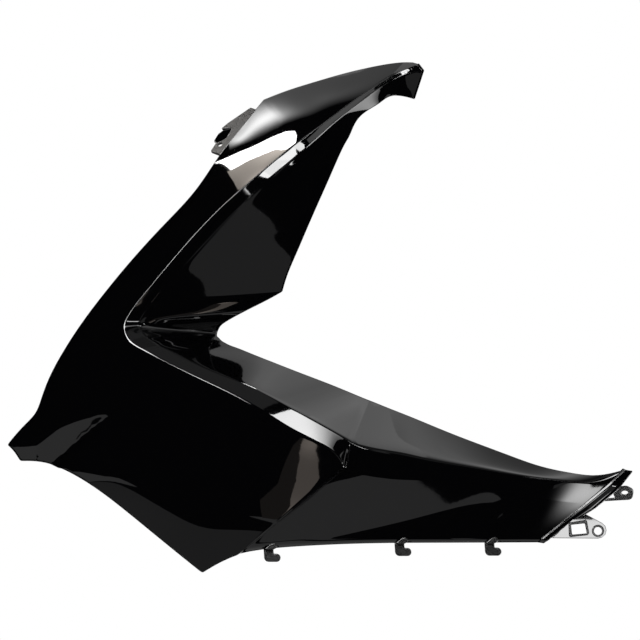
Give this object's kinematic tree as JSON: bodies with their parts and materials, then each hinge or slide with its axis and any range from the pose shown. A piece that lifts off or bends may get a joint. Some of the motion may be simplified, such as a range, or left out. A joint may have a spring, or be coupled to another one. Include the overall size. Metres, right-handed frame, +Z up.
{
  "type": "scooter front side panel",
  "caption": "Left front side panel of a scooter: a thin gloss moulded cover with a swept wing, a pointed nose and a long arm, held by screw tabs and edge hooks.",
  "frame": {"origin": "centre of the rear tab's screw hole, on the tab's outer face", "axes": "+X towards the rear of the scooter, +Y inward to the scooter's middle, +Z up"},
  "size_m": [0.6269, 0.0979, 0.5092],
  "materials": {
    "gloss_black_panel": "gloss black paint with clear coat on moulded ABS"
  },
  "bodies": {
    "root": {"front_side_panel": "gloss_black_panel"}
  },
  "joints": []
}
